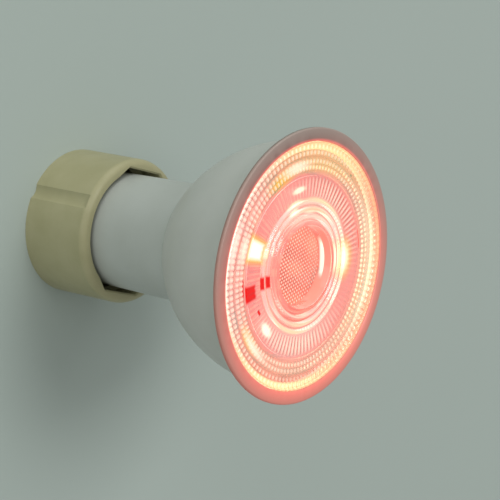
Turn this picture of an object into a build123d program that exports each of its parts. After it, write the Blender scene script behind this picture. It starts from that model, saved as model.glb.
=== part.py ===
from build123d import *
import os
from math import pi

# LED spotlight bulb in its lampholder, in millimetres.
# The lampholder stands on its flat back at z = 0, and the bulb's lens faces up along +Z.
# The bulb turns about Z to lock its two stepped pins behind the holder's keyhole plate.

os.makedirs("parts", exist_ok=True)

# Lampholder body
holder_r = 13.9
holder_length = 15.0
holder_lip_round = 1.3
mouth_bevel = 0.3
mouth_gap = 0.7
pocket_flat = 11.75
pocket_half_width = 4.4
pocket_slope = 2.6
groove_angle = -16.0
groove_width = 3.0
groove_depth = 0.55
groove_end_margin = 0.9

# Lampholder back cover and its screws
cover_thickness = 1.6
cover_rim = 1.8
cover_fit = 0.1
cover_ledge = 1.3
cover_screw_r = 0.95
cover_screw_head_r = 1.7
cover_screw_head = 0.7
cover_screw_length = 4.2
cover_post_r = 1.9
screw_slot = 0.4
inlet_r = 1.5

# Fixing holes that go right through the holder
fixing_spacing = 17.4
fixing_hole_r = 1.65
fixing_head_r = 3.0
fixing_head_depth = 2.0
fixing_post_r = 2.7

# Contact springs in the holder
contact_sheet = 0.4
contact_rise = 1.2
contact_width = 2.8
contact_pad = 3.2
contact_slope = 1.9
contact_foot = 4.4
contact_tail = 1.6
contact_play = 0.1
barrel_r = 1.1
barrel_wall = 0.35
barrel_length = 2.6

# Twist lock
pin_spacing = 10.0
pin_head_r = 2.5
pin_head_length = 2.6
pin_head_bevel = 0.5
pin_neck_r = 1.5
pin_reach = 6.9
pin_rivet_r = 2.1
pin_rivet = 0.6
pin_hole_fit = 0.02
lock_angle = 30.0
head_play = 0.3
slot_clearance = 0.15
entry_clearance = 0.2
seat_gap = 0.1

# Bulb neck
neck_end_r = 10.9
neck_r = 11.15
neck_wall = 1.2
neck_end_wall = 1.6
neck_end_chamfer = 1.2
collar_height = 2.6
collar_step = 0.2
spigot_height = 4.0
spigot_fit = 0.1
snap_height = 2.4
snap_bead = 0.25

# Bulb bowl and rim
bulb_length = 46.3
bowl_depth = 22.9
bowl_start_r = 12.9
bowl_bulge = 1.8
bowl_tuck = 0.2
bowl_height = 18.0
bowl_wall = 1.2
rim_r = 25.0
rim_edge = 0.7
rim_round = 0.3
rim_foot_inset = 1.5
rim_foot_drop = 0.5
bezel_width = 2.5

# Lens plate
lens_fit = 0.1
lens_recess = 0.1
lens_edge = 1.6
lens_seat = 1.6
lens_skirt = 2.2
lens_skirt_wall = 1.0
lens_skirt_gap = 0.1
hook_reach = 0.5
hook_height = 0.6
hook_angle = 24.0
hook_count = 3
ledge_height = 1.2
lens_back = 0.3

# Relief on the lens's front: a sunk centre, rings, ribs and two bands of beads
well_r = 7.35
well_draft = 0.25
well_depth = 2.75
well_floor = 1.2
well_wall = 1.8
grid_pitch = 1.6
grid_angle = 16.0
grid_ways = 3
grid_rise = 0.25
crest_width = 0.8
relief_drop = 0.45
ring_count = 3
ring_width = 1.35
ring_rise = 0.4
rib_count = 72
rib_rise = 0.25
rib_margin = 0.15
ridge_share = 0.94
ridge_root = 0.1
border_width = 0.4
border_depth = 0.4
border_margin = 0.45
bead_band = 2.1
bead_gap = 0.55
bead_count = 96
bead_rise = 0.35
edge_width = 0.4

# LED board, its packages and screws
led_seat_depth = 9.5
heat_sink_sheet = 1.2
heat_sink_fit = 0.05
heat_sink_height = 10.0
led_board_r = 18.0
led_board_thickness = 1.0
led_length = 3.5
led_width = 2.8
led_height = 0.75
led_window_r = 1.1
led_window_depth = 0.15
led_count = 6
colour_led_ring_r = 6.8
colour_led_start = -6.0
white_led_ring_r = 11.6
white_led_start = 24.0
board_screw_count = 3
board_screw_ring_r = 15.2
board_screw_r = 1.1
board_screw_head_r = 2.0
board_screw_head = 1.1
board_screw_bevel = 0.5
board_screw_length = 4.0
board_screw_start = 54.0
screw_hole_fit = 0.05

# Driver board
driver_thickness = 1.0
driver_edge_gap = 0.3
driver_bottom_gap = 2.8
driver_top = 31.0
tongue_width = 6.4
tongue_stand = 0.8
tongue_fit = 0.1
rail_reach = 1.2
rail_width = 1.0
rail_fit = 0.05

# Driver parts
capacitor_r = 4.0
capacitor_length = 11.0
capacitor_lift = 1.2
capacitor_bevel = 0.5
film_box_width = 8.0
film_box_depth = 4.0
film_box_height = 4.6
film_box_round = 0.4
core_r = 4.2
core_flange = 1.2
core_length = 7.4
core_waist_r = 1.9
winding_r = 3.5
winding_fit = 0.05
part_spacing = 1.2
resistor_r = 1.4
resistor_length = 6.0
resistor_lift = 3.0
wire_r = 0.45
wire_bend = 0.7
chip_width = 4.0
chip_length = 5.0
chip_height = 1.5
rectifier_width = 5.0
rectifier_length = 4.2
rectifier_height = 1.7
module_width = 12.0
module_length = 13.0
module_thickness = 0.8
shield_width = 9.0
shield_length = 8.0
shield_height = 1.8
shield_round = 0.5

# Heights worked out from the sizes above
contact_base_z = cover_thickness
pin_end_z = contact_base_z + contact_sheet + contact_rise + contact_play
head_top_z = pin_end_z + pin_head_length
key_under_z = head_top_z + head_play
neck_end_z = pin_end_z + pin_reach
holder_floor_z = neck_end_z - seat_gap
neck_inside_z = neck_end_z + neck_end_wall
front_z = neck_end_z + bulb_length
crease_z = front_z - bowl_depth
shoulder_z = crease_z + bowl_height
lens_top_z = front_z - lens_recess
lens_seat_z = lens_top_z - lens_edge
relief_z = lens_top_z - relief_drop
well_floor_z = lens_top_z - well_depth
led_seat_z = front_z - led_seat_depth
led_top_z = led_seat_z + led_board_thickness
driver_bottom_z = neck_inside_z + driver_bottom_gap
driver_top_z = neck_inside_z + driver_top
choke_z = driver_bottom_z + capacitor_lift + capacitor_length + part_spacing + core_r
chip_z = driver_bottom_z + part_spacing + rectifier_length + part_spacing
module_z = chip_z + chip_length + part_spacing

# Radii and places worked out from the sizes above
cover_seat_r = holder_r - cover_rim
cavity_r = cover_seat_r - cover_ledge
mouth_r = neck_end_r + mouth_gap
pin_x = pin_spacing / 2
fixing_y = fixing_spacing / 2
cover_screw_x = pin_x + pin_head_r + head_play + cover_post_r
contact_ramp_y = contact_pad / 2 + contact_slope
inlet_y = -(contact_ramp_y + contact_foot - barrel_r - screw_hole_fit)
neck_bore_r = neck_end_r - neck_wall
spigot_r = bowl_start_r - bowl_wall - spigot_fit
sleeve_bore_r = spigot_r + spigot_fit
lens_r = rim_r - bezel_width
bowl_r = lens_r - bowl_tuck
lens_seat_r = lens_r + lens_fit
ledge_bore_r = lens_seat_r - lens_seat
skirt_r = ledge_bore_r - lens_skirt_gap
driver_face_y = driver_thickness / 2
driver_half_width = neck_bore_r - driver_edge_gap
ring_zone_r = well_r + well_draft + crest_width
rib_zone_r = ring_zone_r + ring_count * ring_width
bead_end_r = lens_r - edge_width
bead_start_r = bead_end_r - 2 * bead_band - bead_gap
border_r = bead_start_r - border_margin - border_width


# Basic forms
def turned(*outline, arc=360.0):
    """Turn a closed outline of (radius, height) corners about Z, all the way round or by an arc."""
    section = Plane.XZ * make_face(Polyline(*outline, close=True))
    return revolve(section, Axis.Z, revolution_arc=arc)


def rod(radius, bottom_z, top_z, x=0.0, y=0.0):
    """Upright rod between two heights."""
    return Pos(x, y, bottom_z) * extrude(Circle(radius), top_z - bottom_z)


def tube(outer_r, inner_r, bottom_z, top_z):
    """Upright tube about Z between two heights."""
    return extrude(Pos(0, 0, bottom_z) * (Circle(outer_r) - Circle(inner_r)), top_z - bottom_z)


def block(x_range, y_range, z_range):
    """Box between two places along each axis."""
    size = [high - low for low, high in (x_range, y_range, z_range)]
    middle = [(high + low) / 2 for low, high in (x_range, y_range, z_range)]
    return Pos(*middle) * Box(*size)


def circle_edges(solid, radius, height, match=0.01):
    """Edges of one radius at one height, on a turned form."""
    found = solid.edges().filter_by(GeomType.CIRCLE)
    return found.filter_by(lambda e: abs(e.radius - radius) < match and abs(e.center().Z - height) < match)


# Lampholder
def mouth_cut():
    """Round mouth with a bevelled edge and a flat pocket at each end of the fixing-hole line."""
    wide = pocket_half_width + pocket_slope
    low = pocket_flat - pocket_slope
    pocket = Polyline((-pocket_half_width, pocket_flat), (pocket_half_width, pocket_flat), (wide, low),
                      (wide, -low), (pocket_half_width, -pocket_flat), (-pocket_half_width, -pocket_flat),
                      (-wide, -low), (-wide, low), close=True)
    section = Circle(mouth_r) + make_face(pocket)
    straight = extrude(Pos(0, 0, holder_floor_z) * section, holder_length - holder_floor_z)
    bevel = extrude(Pos(0, 0, holder_length - mouth_bevel) * section, mouth_bevel, taper=-45)
    return straight + bevel


def keyhole(start_angle):
    """Slot along the pin's arc that ends in an entry hole as wide as the pin's head."""
    slot_r = pin_neck_r + slot_clearance
    arc = CenterArc((0, 0), pin_x, start_angle, lock_angle)
    slot = SlotArc(arc, 2 * slot_r)
    entry = PolarLocations(pin_x, 1, start_angle + lock_angle) * Circle(pin_head_r + entry_clearance)
    thickness = holder_floor_z - key_under_z
    return extrude(Pos(0, 0, key_under_z) * (slot + entry), thickness)


def side_groove(angle):
    """Shallow rounded groove down the holder's side, closed before the lip."""
    radius = (groove_width ** 2 / 4 + groove_depth ** 2) / (2 * groove_depth)
    centre = holder_r - groove_depth + radius
    return Rot(0, 0, angle) * rod(radius, 0, holder_length - groove_end_margin, x=centre)


def holder_body():
    body = rod(holder_r, 0, holder_length)
    body = fillet(circle_edges(body, holder_r, holder_length), holder_lip_round)
    body -= mouth_cut()
    body -= rod(cover_seat_r, 0, cover_thickness)
    cavity = rod(cavity_r, cover_thickness, key_under_z)
    for y in (-fixing_y, fixing_y):
        cavity -= rod(fixing_post_r, cover_thickness, key_under_z, y=y)
    for x in (-cover_screw_x, cover_screw_x):
        cavity -= rod(cover_post_r, cover_thickness, key_under_z, x=x)
    body -= cavity
    for y in (-fixing_y, fixing_y):
        body -= rod(fixing_hole_r, cover_thickness, holder_floor_z, y=y)
        body -= rod(fixing_head_r, holder_floor_z - fixing_head_depth, holder_floor_z, y=y)
    for x in (-cover_screw_x, cover_screw_x):
        hole_top = cover_screw_head + cover_screw_length + 2 * screw_hole_fit
        body -= rod(cover_screw_r + screw_hole_fit, cover_thickness, hole_top, x=x)
    body -= keyhole(0) + keyhole(180)
    body -= side_groove(groove_angle) + side_groove(groove_angle + 180)
    return body


def holder_cover():
    cover = rod(cover_seat_r - cover_fit, 0, cover_thickness)
    for y in (-fixing_y, fixing_y):
        cover -= rod(fixing_hole_r, 0, cover_thickness, y=y)
    for x in (-pin_x, pin_x):
        cover -= rod(inlet_r, 0, cover_thickness, x=x, y=inlet_y)
    for x in (-cover_screw_x, cover_screw_x):
        cover -= rod(cover_screw_r + screw_hole_fit, 0, cover_thickness, x=x)
        cover -= rod(cover_screw_head_r + screw_hole_fit, 0, cover_screw_head, x=x)
    return cover


def cover_screw(x):
    seat = cover_screw_head
    screw = rod(cover_screw_head_r, screw_hole_fit, seat, x=x)
    screw += rod(cover_screw_r, seat, seat + cover_screw_length, x=x)
    slot = block((x - cover_screw_head_r, x + cover_screw_head_r), (-screw_slot / 2, screw_slot / 2),
                 (screw_hole_fit, seat / 2))
    return screw - slot


def contact_spring(x):
    """Strip that bows up under the pin's head, with an upright crimp barrel over the inlet."""
    base = contact_base_z
    top = base + contact_rise
    pad = contact_pad / 2
    ramp = contact_ramp_y
    lower = [(-ramp - contact_foot, base), (-ramp, base), (-pad, top), (pad, top), (ramp, base),
             (ramp + contact_tail, base)]
    upper = [(y, z + contact_sheet) for y, z in reversed(lower)]
    section = Plane.YZ * make_face(Polyline(*lower, *upper, close=True))
    barrel_top = base + contact_sheet + barrel_length
    strip = extrude(section, contact_width / 2, both=True)
    strip += rod(barrel_r, base, barrel_top, y=inlet_y)
    strip -= rod(barrel_r - barrel_wall, base, barrel_top, y=inlet_y)
    return Pos(x, 0, 0) * strip


# Bulb base
def contact_pin(x):
    pin = turned((0, pin_end_z), (pin_head_r, pin_end_z), (pin_head_r, head_top_z),
                 (pin_neck_r, head_top_z), (pin_neck_r, neck_inside_z), (pin_rivet_r, neck_inside_z),
                 (pin_rivet_r, neck_inside_z + pin_rivet), (0, neck_inside_z + pin_rivet))
    pin = chamfer(circle_edges(pin, pin_head_r, pin_end_z), pin_head_bevel)
    return Pos(x, 0, 0) * pin


def neck_housing():
    """Neck with a bevelled end, a flared collar and the spigot that the bowl snaps on."""
    collar_z = crease_z - collar_height
    flare = bowl_start_r - collar_step - neck_r
    snap_z = crease_z + snap_height
    spigot_z = crease_z + spigot_height
    outline = Polyline((0, neck_end_z), (neck_end_r - neck_end_chamfer, neck_end_z),
                       (neck_end_r, neck_end_z + neck_end_chamfer), (neck_r, collar_z))
    collar = EllipticalCenterArc((neck_r + flare, collar_z), flare, collar_height - collar_step,
                                 start_angle=90, arc_size=90)
    rest = Polyline((neck_r + flare, crease_z - collar_step), (neck_r + flare, crease_z),
                    (spigot_r, crease_z), (spigot_r, snap_z - snap_bead), (spigot_r + snap_bead, snap_z),
                    (spigot_r, snap_z + snap_bead), (spigot_r, spigot_z), (neck_bore_r, spigot_z),
                    (neck_bore_r, neck_inside_z), (0, neck_inside_z), (0, neck_end_z))
    housing = revolve(Plane.XZ * make_face([*outline.edges(), *collar.edges(), *rest.edges()]), Axis.Z)
    for x in (-pin_x, pin_x):
        housing -= rod(pin_neck_r + pin_hole_fit, neck_end_z, neck_inside_z, x=x)
    inside = rod(neck_bore_r + neck_wall / 2, neck_inside_z, crease_z)
    rails = board_rail() + Rot(0, 0, 180) * board_rail()
    return housing + (rails & inside)


def board_rail():
    """Pair of ribs with a stop at the bottom, which hold one edge of the driver board."""
    inner_x = neck_bore_r - rail_reach
    slot = driver_face_y + rail_fit
    x_range = (inner_x, neck_bore_r + neck_wall)
    rail = block(x_range, (-slot - rail_width, slot + rail_width), (neck_inside_z, crease_z))
    return rail - block(x_range, (-slot, slot), (driver_bottom_z, crease_z))


# Bulb bowl
def bowl_body(inset):
    """Solid inside the bowl's curve, with its wall set in by a radial amount."""
    start = (bowl_start_r - inset, crease_z)
    end = (bowl_r - inset, shoulder_z)
    curve = SagittaArc(start, end, -bowl_bulge)
    closing = Polyline(end, (0, shoulder_z), (0, crease_z), start)
    return revolve(Plane.XZ * make_face([*curve.edges(), *closing.edges()]), Axis.Z)


def rim_body():
    """Upper wall and flat rim above the bowl's curve."""
    foot_z = front_z - rim_edge - rim_foot_drop
    rim = turned((0, shoulder_z), (bowl_r, shoulder_z), (rim_r - rim_foot_inset, foot_z),
                 (rim_r, front_z - rim_edge), (rim_r, front_z), (0, front_z))
    return fillet(circle_edges(rim, rim_r, front_z), rim_round)


def bowl_shell():
    """Bowl with its rim, the stepped seat for the lens and the sleeve for the neck's spigot."""
    snap_groove_r = ledge_bore_r + hook_reach + lens_skirt_gap
    ledge_under_z = lens_seat_z - ledge_height
    snap_z = crease_z + snap_height
    sleeve_z = crease_z + spigot_height
    shell = bowl_body(0) + rim_body()
    shell -= bowl_body(bowl_wall)
    shell -= rod(bowl_r - bowl_wall, shoulder_z, ledge_under_z - hook_height * 2)
    shell -= rod(snap_groove_r, ledge_under_z - hook_height * 2, ledge_under_z)
    shell -= rod(ledge_bore_r, ledge_under_z, lens_seat_z)
    shell -= rod(lens_seat_r, lens_seat_z, front_z)
    sleeve = turned((sleeve_bore_r, crease_z), (sleeve_bore_r + bowl_wall, crease_z),
                    (sleeve_bore_r + bowl_wall, sleeve_z), (sleeve_bore_r, sleeve_z),
                    (sleeve_bore_r, snap_z + snap_bead), (sleeve_bore_r + snap_bead, snap_z),
                    (sleeve_bore_r, snap_z - snap_bead))
    return shell + sleeve


def heat_sink():
    """Aluminium insert with a flat top, which lies against the bowl's inner wall."""
    inset = bowl_wall + heat_sink_fit
    bottom_z = led_seat_z - heat_sink_height
    outer = bowl_body(inset) & rod(rim_r, bottom_z, led_seat_z)
    inner = bowl_body(inset + heat_sink_sheet) & rod(rim_r, bottom_z, led_seat_z - heat_sink_sheet)
    insert = outer - inner
    insert -= tongue_slot(led_seat_z - heat_sink_sheet, led_seat_z)
    return insert - board_screw_holes(led_seat_z - heat_sink_sheet, led_seat_z)


def tongue_slot(bottom_z, top_z):
    half_width = tongue_width / 2 + tongue_fit
    half_depth = driver_face_y + tongue_fit
    return block((-half_width, half_width), (-half_depth, half_depth), (bottom_z, top_z))


def board_screw_places():
    return PolarLocations(board_screw_ring_r, board_screw_count, board_screw_start)


def board_screw_holes(bottom_z, top_z):
    hole = rod(board_screw_r + screw_hole_fit, bottom_z, top_z)
    return Part() + board_screw_places() * hole


# LED board
def led_board():
    board = rod(led_board_r, led_seat_z, led_top_z)
    board -= tongue_slot(led_seat_z, led_top_z)
    return board - board_screw_holes(led_seat_z, led_top_z)


def led_package():
    package = block((-led_length / 2, led_length / 2), (-led_width / 2, led_width / 2),
                    (led_top_z, led_top_z + led_height))
    window = rod(led_window_r, led_top_z + led_height - led_window_depth, led_top_z + led_height)
    return package - window


def led_ring(radius, start_angle):
    return PolarLocations(radius, led_count, start_angle) * led_package()


def board_screw():
    head_z = led_top_z + board_screw_head
    head = rod(board_screw_head_r, led_top_z, head_z)
    head = chamfer(circle_edges(head, board_screw_head_r, head_z), board_screw_bevel)
    screw = head + rod(board_screw_r, led_top_z - board_screw_length, led_top_z)
    slot = block((-board_screw_head_r, board_screw_head_r), (-screw_slot / 2, screw_slot / 2),
                 (led_top_z + board_screw_head / 2, head_z))
    return screw - slot


# Lens
def front_outline():
    """Front of the lens from its centre to its edge, as (radius, height) corners, before the ridges."""
    crest_r = well_r + well_draft
    points = [(0, well_floor_z), (well_r, well_floor_z), (crest_r, lens_top_z), (ring_zone_r, lens_top_z),
              (ring_zone_r, relief_z)]
    for ring in range(ring_count):
        start = ring_zone_r + ring * ring_width
        points += [(start + ring_width / 2, relief_z + ring_rise), (start + ring_width, relief_z)]
    border_z = relief_z - border_depth
    points += [(border_r, relief_z), (border_r, border_z), (border_r + border_width, border_z),
               (border_r + border_width, relief_z)]
    return points + [(bead_end_r, relief_z), (bead_end_r, lens_top_z), (lens_r, lens_top_z)]


def back_outline():
    """Back of the lens from its edge to its centre: the seat, the skirt and the boss under the well."""
    back_z = lens_seat_z - lens_back
    skirt_end_z = lens_seat_z - lens_skirt
    inner_r = skirt_r - lens_skirt_wall
    boss_r = well_r + well_wall
    boss_z = well_floor_z - well_floor
    return [(lens_r, lens_seat_z), (skirt_r, lens_seat_z), (skirt_r, skirt_end_z), (inner_r, skirt_end_z),
            (inner_r, back_z), (boss_r, back_z), (boss_r, boss_z), (0, boss_z)]


def radial_ridges(inner_r, outer_r, rise, count):
    """Ring of straight ridges that point at the lens's centre."""
    half = ridge_share * pi * inner_r / count
    root_z = relief_z - ridge_root
    section = Polyline((-half, root_z), (-half, relief_z), (0, relief_z + rise), (half, relief_z),
                       (half, root_z), close=True)
    ridge = Pos(inner_r, 0, 0) * extrude(Plane.YZ * make_face(section), outer_r - inner_r)
    return PolarLocations(0, count) * ridge


def ridged_plate(angle):
    """Plate across the well whose top is a row of ridges side by side."""
    lines = 2 * int(well_r / grid_pitch) + 3
    half_row = lines * grid_pitch / 2
    half_pitch = grid_pitch / 2
    top = [(half_row - step * half_pitch, well_floor_z + grid_rise * (step % 2))
           for step in range(2 * lines + 1)]
    root_z = well_floor_z - ridge_root
    section = Polyline((-half_row, root_z), (half_row, root_z), *top, close=True)
    return Rot(0, 0, angle) * extrude(Plane.YZ * make_face(section), well_r + well_draft, both=True)


def centre_grid():
    """Honeycomb of small peaks, where ridges cross three ways."""
    field = rod(well_r, well_floor_z - ridge_root, well_floor_z + grid_rise)
    for way in range(grid_ways):
        field &= ridged_plate(grid_angle + way * 180 / grid_ways)
    return field


def lens_hook():
    """Short catch on the skirt, which snaps in under the bowl's ledge."""
    top_z = lens_seat_z - ledge_height - lens_skirt_gap
    inner_r = skirt_r - lens_skirt_wall / 2
    outer_r = skirt_r + hook_reach
    return turned((inner_r, top_z - hook_height), (outer_r, top_z - hook_height), (outer_r, top_z),
                  (inner_r, top_z), arc=hook_angle)


def lens():
    """Clear plate with its relief in front and a hooked skirt behind."""
    plate = turned(*front_outline(), *back_outline())
    plate += radial_ridges(rib_zone_r + rib_margin, border_r - rib_margin, rib_rise, rib_count)
    for start in (bead_start_r, bead_start_r + bead_band + bead_gap):
        plate += radial_ridges(start, start + bead_band, bead_rise, bead_count)
    plate += centre_grid()
    return plate + PolarLocations(0, hook_count) * lens_hook()


# Driver
def driver_board():
    board = block((-driver_half_width, driver_half_width), (-driver_face_y, driver_face_y),
                  (driver_bottom_z, driver_top_z))
    tongue = block((-tongue_width / 2, tongue_width / 2), (-driver_face_y, driver_face_y),
                   (driver_top_z, led_top_z + tongue_stand))
    return board + tongue


def main_capacitor():
    bottom = driver_bottom_z + capacitor_lift
    can = rod(capacitor_r, bottom, bottom + capacitor_length, y=driver_face_y + capacitor_r)
    return chamfer(can.edges().filter_by(GeomType.CIRCLE), capacitor_bevel)


def choke_core():
    waist = core_length - 2 * core_flange
    drum = turned((0, 0), (core_r, 0), (core_r, core_flange), (core_waist_r, core_flange),
                  (core_waist_r, core_flange + waist), (core_r, core_flange + waist),
                  (core_r, core_length), (0, core_length))
    return Pos(0, driver_face_y, choke_z) * (Rot(-90, 0, 0) * drum)


def choke_winding():
    coil = tube(winding_r, core_waist_r + winding_fit, core_flange + winding_fit,
                core_length - core_flange - winding_fit)
    return Pos(0, driver_face_y, choke_z) * (Rot(-90, 0, 0) * coil)


def filter_capacitor():
    bottom = choke_z + core_r + part_spacing
    box = block((-film_box_width / 2, film_box_width / 2), (driver_face_y, driver_face_y + film_box_depth),
                (bottom, bottom + film_box_height))
    return fillet(box.edges().filter_by(Axis.Z), film_box_round)


def fuse_resistor():
    bottom = driver_bottom_z + resistor_lift
    return rod(resistor_r, bottom, bottom + resistor_length, x=-pin_x, y=driver_face_y + resistor_r)


def wire(x, side_y, top_z):
    """Bare wire from a pin's rivet to a place beside the board."""
    start_z = neck_inside_z + pin_rivet
    bend_z = start_z + wire_bend
    rise_z = max(bend_z + side_y, bend_z + wire_bend)
    path = Polyline((x, 0, start_z), (x, 0, bend_z), (x, side_y, rise_z), (x, side_y, top_z))
    return sweep(Pos(x, 0, start_z) * Circle(wire_r), path, transition=Transition.ROUND)


def fuse_lead():
    return wire(-pin_x, driver_face_y + resistor_r, driver_bottom_z + resistor_lift)


def input_lead():
    return wire(pin_x, driver_face_y + wire_r + rail_fit, driver_bottom_z + resistor_lift)


def back_part(width, length, height, bottom_z, x=0.0):
    """Flat component on the board's rear face."""
    return block((x - width / 2, x + width / 2), (-driver_face_y - height, -driver_face_y),
                 (bottom_z, bottom_z + length))


def bridge_rectifier():
    return back_part(rectifier_width, rectifier_length, rectifier_height, driver_bottom_z + part_spacing)


def driver_chip():
    return back_part(chip_width, chip_length, chip_height, chip_z)


def control_module():
    return back_part(module_width, module_length, module_thickness, module_z)


def module_shield():
    can = back_part(shield_width, shield_length, shield_height, module_z + part_spacing)
    can = fillet(can.edges().filter_by(Axis.Y), shield_round)
    return Pos(0, -module_thickness, 0) * can


# Every named piece
pieces = {
    "holder_body": holder_body(),
    "holder_cover": holder_cover(),
    "contact_spring_left": contact_spring(-pin_x),
    "contact_spring_right": contact_spring(pin_x),
    "cover_screws": [cover_screw(-cover_screw_x), cover_screw(cover_screw_x)],
    "neck_housing": neck_housing(),
    "contact_pin_left": contact_pin(-pin_x),
    "contact_pin_right": contact_pin(pin_x),
    "bowl_shell": bowl_shell(),
    "heat_sink": heat_sink(),
    "led_board": led_board(),
    "colour_leds": led_ring(colour_led_ring_r, colour_led_start),
    "white_leds": led_ring(white_led_ring_r, white_led_start),
    "led_board_screws": board_screw_places() * board_screw(),
    "lens": lens(),
    "driver_board": driver_board(),
    "input_lead": input_lead(),
    "fuse_lead": fuse_lead(),
    "fuse_resistor": fuse_resistor(),
    "main_capacitor": main_capacitor(),
    "filter_capacitor": filter_capacitor(),
    "choke_core": choke_core(),
    "choke_winding": choke_winding(),
    "bridge_rectifier": bridge_rectifier(),
    "driver_chip": driver_chip(),
    "control_module": control_module(),
    "module_shield": module_shield(),
}

for name, piece in pieces.items():
    solids = Compound(children=list(piece)) if isinstance(piece, (list, ShapeList)) else piece
    export_step(solids, f"parts/{name}.step")
    print(name, "written")
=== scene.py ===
# %% [markdown]
# # A lit spotlight bulb in its lampholder
#
# The object is a reflector-shaped LED bulb, 50 mm across its front, locked into a short round
# lampholder by a push and a twist. This lesson loads the solid parts as a fixed frame and then
# gives the parts that show finer meshes and finishes. Everything is in metres in the same frame
# as the solids: the lamp's axis is Z, the holder's flat back is at z = 0 and the lens faces up.

# %% Load the solid parts
from math import atan2, cos, hypot, pi, radians, sin
import bpy
from mathutils import Matrix, Vector


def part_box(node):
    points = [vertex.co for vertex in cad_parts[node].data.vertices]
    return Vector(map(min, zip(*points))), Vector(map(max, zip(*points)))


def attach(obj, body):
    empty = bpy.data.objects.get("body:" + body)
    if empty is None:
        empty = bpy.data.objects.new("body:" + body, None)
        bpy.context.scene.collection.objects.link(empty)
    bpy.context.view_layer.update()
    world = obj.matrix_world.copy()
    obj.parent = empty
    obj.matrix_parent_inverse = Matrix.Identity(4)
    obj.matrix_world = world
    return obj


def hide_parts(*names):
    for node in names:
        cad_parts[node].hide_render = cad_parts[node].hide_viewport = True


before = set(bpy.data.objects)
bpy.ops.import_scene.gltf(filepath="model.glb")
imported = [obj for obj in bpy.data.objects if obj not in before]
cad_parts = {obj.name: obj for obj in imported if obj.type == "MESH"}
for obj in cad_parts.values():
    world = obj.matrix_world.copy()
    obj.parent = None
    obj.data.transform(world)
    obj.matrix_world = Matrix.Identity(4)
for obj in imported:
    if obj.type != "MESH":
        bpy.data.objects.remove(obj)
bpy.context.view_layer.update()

bpy.ops.object.select_all(action="DESELECT")
print("parts loaded:", len(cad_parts))

# %% [markdown]
# ## The camera first
#
# A long lens keeps the ellipse of the rim as slim as the real view shows it. The camera looks at
# a point close to the lamp's axis, about half way up the bowl. It is rolled about its own line of
# sight, because the photographed lamp lies on its side, while this one stands on its holder.

# %% Camera
MM = 0.001
camera_place = Vector((0.288457, 0.0, 0.264645))
camera_target = Vector((0.0, -0.001, 0.0433))
camera_roll = radians(101.4)
camera_lens = 144.0
sensor_width = 36.0

camera_data = bpy.data.cameras.new("camera")
camera_data.lens = camera_lens
camera_data.sensor_width = sensor_width
camera_data.clip_start = 0.01
camera_data.clip_end = 20.0
camera = bpy.data.objects.new("camera", camera_data)
bpy.context.scene.collection.objects.link(camera)
level_view = (camera_target - camera_place).to_track_quat("-Z", "Y").to_matrix()
camera.location = camera_place
camera.rotation_euler = (level_view @ Matrix.Rotation(camera_roll, 3, "Z")).to_euler()
bpy.context.scene.camera = camera
print("camera distance in mm:", round((camera_target - camera_place).length / MM))

# %% [markdown]
# ## Sizes shared by the visible pieces
#
# These are the lamp's own sizes in millimetres. Heights on the lens are measured down from the
# bezel's flat front. The radii of its zones run from the sunk centre outwards, as a turner would
# step along the work.

# %% Sizes in millimetres
front_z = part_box("bowl_shell")[1][2] / MM
lens_r = 22.5
lens_top_z = front_z - 0.1
lens_seat_z = lens_top_z - 1.6
relief_z = lens_top_z - 0.45
print("front plane at", round(front_z, 2), "mm, lens seat at", round(lens_seat_z, 2), "mm")

# %% Radii of the lens's zones
well_r = 7.35
well_wall_r = 7.6
well_floor_z = lens_top_z - 2.75
well_step_z = well_floor_z + 1.2
crest_end_r = 8.4
ring_count = 3
ring_width = 1.35
rib_start_r = crest_end_r + ring_count * ring_width
border_r = 16.35
border_width = 0.4
border_depth = 0.1
bead_width = 1.0
bead_start_r = (17.35, 18.45, 20.0, 21.1)
edge_r = 22.1
print("ribs from", round(rib_start_r, 2), "to", border_r, "mm, bead rows from", bead_start_r, "mm")


# %% [markdown]
# ## Turning a piece
#
# Moulded round pieces are turned forms. A curve with a screw modifier could make them too, but a
# spin in edit mode leaves a plain mesh, and its points can be moved one by one later. The helper
# collapses a small plane to one point, extrudes that point along the outline, and spins the line
# about the lamp's axis. The doubled points on the axis and at the seam are merged, and the faces
# are turned outwards at the end.

# %% Helper that spins an outline
weld_distance = 1e-7


def spin_outline(name, outline, steps, arc=2 * pi):
    """Mesh turned from a closed outline of (radius, height) points in millimetres."""
    bpy.ops.object.select_all(action="DESELECT")
    bpy.ops.mesh.primitive_plane_add(size=MM, location=(0, 0, 0))
    piece = bpy.context.object
    piece.name = name
    bpy.ops.object.mode_set(mode="EDIT")
    bpy.ops.mesh.merge(type="CENTER")
    first_r, first_z = outline[0]
    bpy.ops.transform.translate(value=(first_r * MM, 0, first_z * MM))
    path = list(outline) + [outline[0]]
    for (r0, z0), (r1, z1) in zip(path, path[1:]):
        step = ((r1 - r0) * MM, 0, (z1 - z0) * MM)
        bpy.ops.mesh.extrude_vertices_move(TRANSFORM_OT_translate={"value": step})
    bpy.ops.mesh.select_all(action="SELECT")
    bpy.ops.mesh.remove_doubles(threshold=weld_distance)
    bpy.ops.mesh.spin(steps=steps, angle=arc, center=(0, 0, 0), axis=(0, 0, 1))
    bpy.ops.mesh.select_all(action="SELECT")
    bpy.ops.mesh.remove_doubles(threshold=weld_distance)
    bpy.ops.mesh.normals_make_consistent(inside=False)
    bpy.ops.object.mode_set(mode="OBJECT")
    return piece


def spread(start, end, count):
    """Evenly spaced values from start to just before end."""
    return [start + (end - start) * step / count for step in range(count)]


print("four steps from 0 to 1:", spread(0.0, 1.0, 4))

# %% [markdown]
# ## The lens plate
#
# The clear front plate is the lamp's face: a sunk centre with a honeycomb floor, three round
# rings, a zone of fine radial ribs, and two bands of beads near the edge. Modelling each bead as
# its own mesh would give thousands of seams, so the plate is spun once with enough columns, and
# the relief is then pressed into its front by moving points up and down.

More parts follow.
